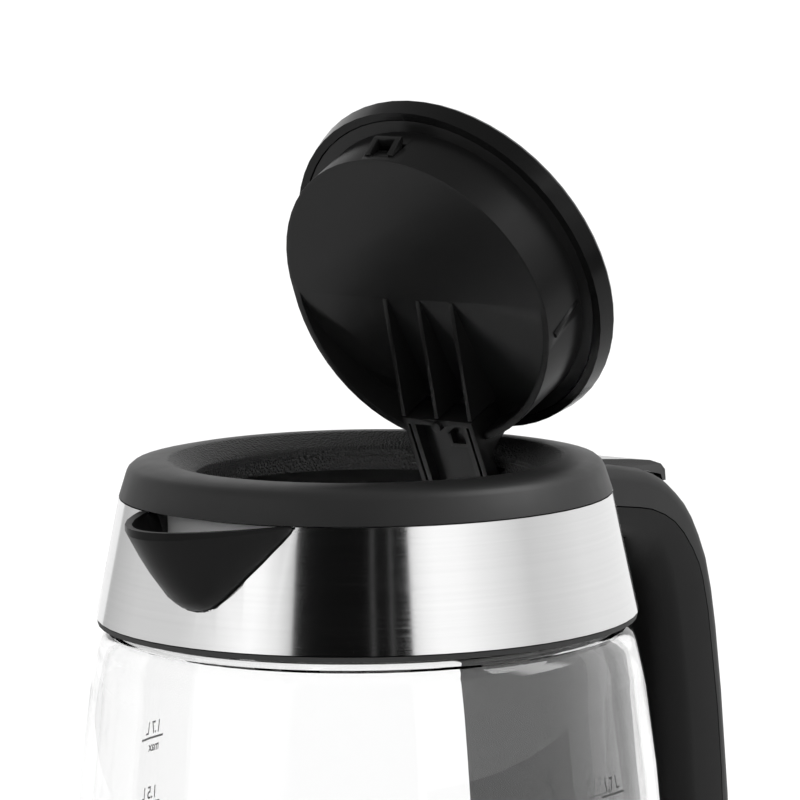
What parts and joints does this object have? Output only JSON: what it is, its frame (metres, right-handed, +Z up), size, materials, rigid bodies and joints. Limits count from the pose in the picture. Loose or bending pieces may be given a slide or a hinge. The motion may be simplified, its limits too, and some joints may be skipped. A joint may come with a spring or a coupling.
{
  "type": "electric kettle",
  "caption": "Glass jug kettle with a steel shoulder band, V-shaped spout, hinged lid shown open, D-shaped handle and a separate round power base.",
  "frame": {"origin": "centre of the power base's underside, on the jug's axis, at table level", "axes": "+Z up along the jug's axis, -X towards the spout, +X towards the handle, Y across"},
  "size_m": [0.2041, 0.15, 0.319],
  "materials": {
    "black_plastic": "fine satin",
    "gloss_plastic": "gloss",
    "grey_plastic": "matte",
    "brushed_steel": "brushed around",
    "plain_steel": "satin",
    "aluminium": "as cast",
    "brass": "satin",
    "clear_glass": "clear",
    "lens": "clear",
    "black_rubber": "matte",
    "silicone": "matte"
  },
  "bodies": {
    "power_base": {"base_shell": "black_plastic", "base_plate": "black_plastic", "base_connector": "black_plastic", "contact_ring": "brass", "contact_pin": "brass", "foot_1": "black_rubber", "foot_2": "black_rubber", "foot_3": "black_rubber", "foot_4": "black_rubber", "base_screw_1": "plain_steel", "base_screw_2": "plain_steel", "base_screw_3": "plain_steel", "cord_gland": "black_rubber"},
    "kettle": {"glass_jug": "clear_glass", "steel_band": "brushed_steel", "collar_ring": "black_plastic", "neck_gasket": "black_rubber", "neck_seal": "silicone", "inner_collar": "black_plastic", "spout_insert": "black_plastic", "filter_frame": "grey_plastic", "hinge_pin": "plain_steel", "hinge_spring": "plain_steel", "rear_spine": "black_plastic", "steam_tube": "silicone", "handle_outer": "black_plastic", "handle_inner": "black_plastic", "handle_screw_1": "plain_steel", "handle_screw_2": "plain_steel", "lever_pin": "plain_steel", "base_seal": "silicone", "heating_plate": "plain_steel", "diffuser_plate": "aluminium", "heating_element": "aluminium", "bottom_housing": "black_plastic", "steel_trim_ring": "brushed_steel", "bottom_cover": "black_plastic", "foot_screw_1": "plain_steel", "foot_screw_2": "plain_steel", "foot_screw_3": "plain_steel", "connector_socket": "black_plastic", "thermostat": "black_plastic", "bimetal_disc": "plain_steel", "indicator_lens": "lens", "switch_pin": "plain_steel"},
    "lid": {"lid_cover": "black_plastic", "lid_underside": "black_plastic", "hinge_arm": "black_plastic"},
    "catch": {"lid_catch": "black_plastic"},
    "lever": {"release_lever": "gloss_plastic"},
    "switch": {"power_switch": "black_plastic"}
  },
  "joints": [
    {"name": "kettle_lift", "type": "slide", "parent": "power_base", "child": "kettle", "axis": [0, 0, 1], "range_m": [0, 0.08]},
    {"name": "lid_hinge", "type": "hinge", "parent": "kettle", "child": "lid", "pos_m": [0.04805, 0, 0.23264], "axis": [0, -1, 0], "range_deg": [0, 65], "stiffness_Nm_per_rad": 0.02, "springref_deg": -114.59},
    {"name": "catch_slide", "type": "slide", "parent": "lid", "child": "catch", "axis": [0.4226, 0, -0.9063], "range_m": [0, 0.0012], "stiffness_N_per_m": 200, "springref_m": -0.001},
    {"name": "lever_hinge", "type": "hinge", "parent": "kettle", "child": "lever", "pos_m": [0.068, 0, 0.2208], "axis": [0, 1, 0], "range_deg": [0, 6], "stiffness_Nm_per_rad": 0.1, "springref_deg": -5.73},
    {"name": "switch_hinge", "type": "hinge", "parent": "kettle", "child": "switch", "pos_m": [0.0795, 0, 0.04], "axis": [0, 1, 0], "range_deg": [0, 12]}
  ]
}
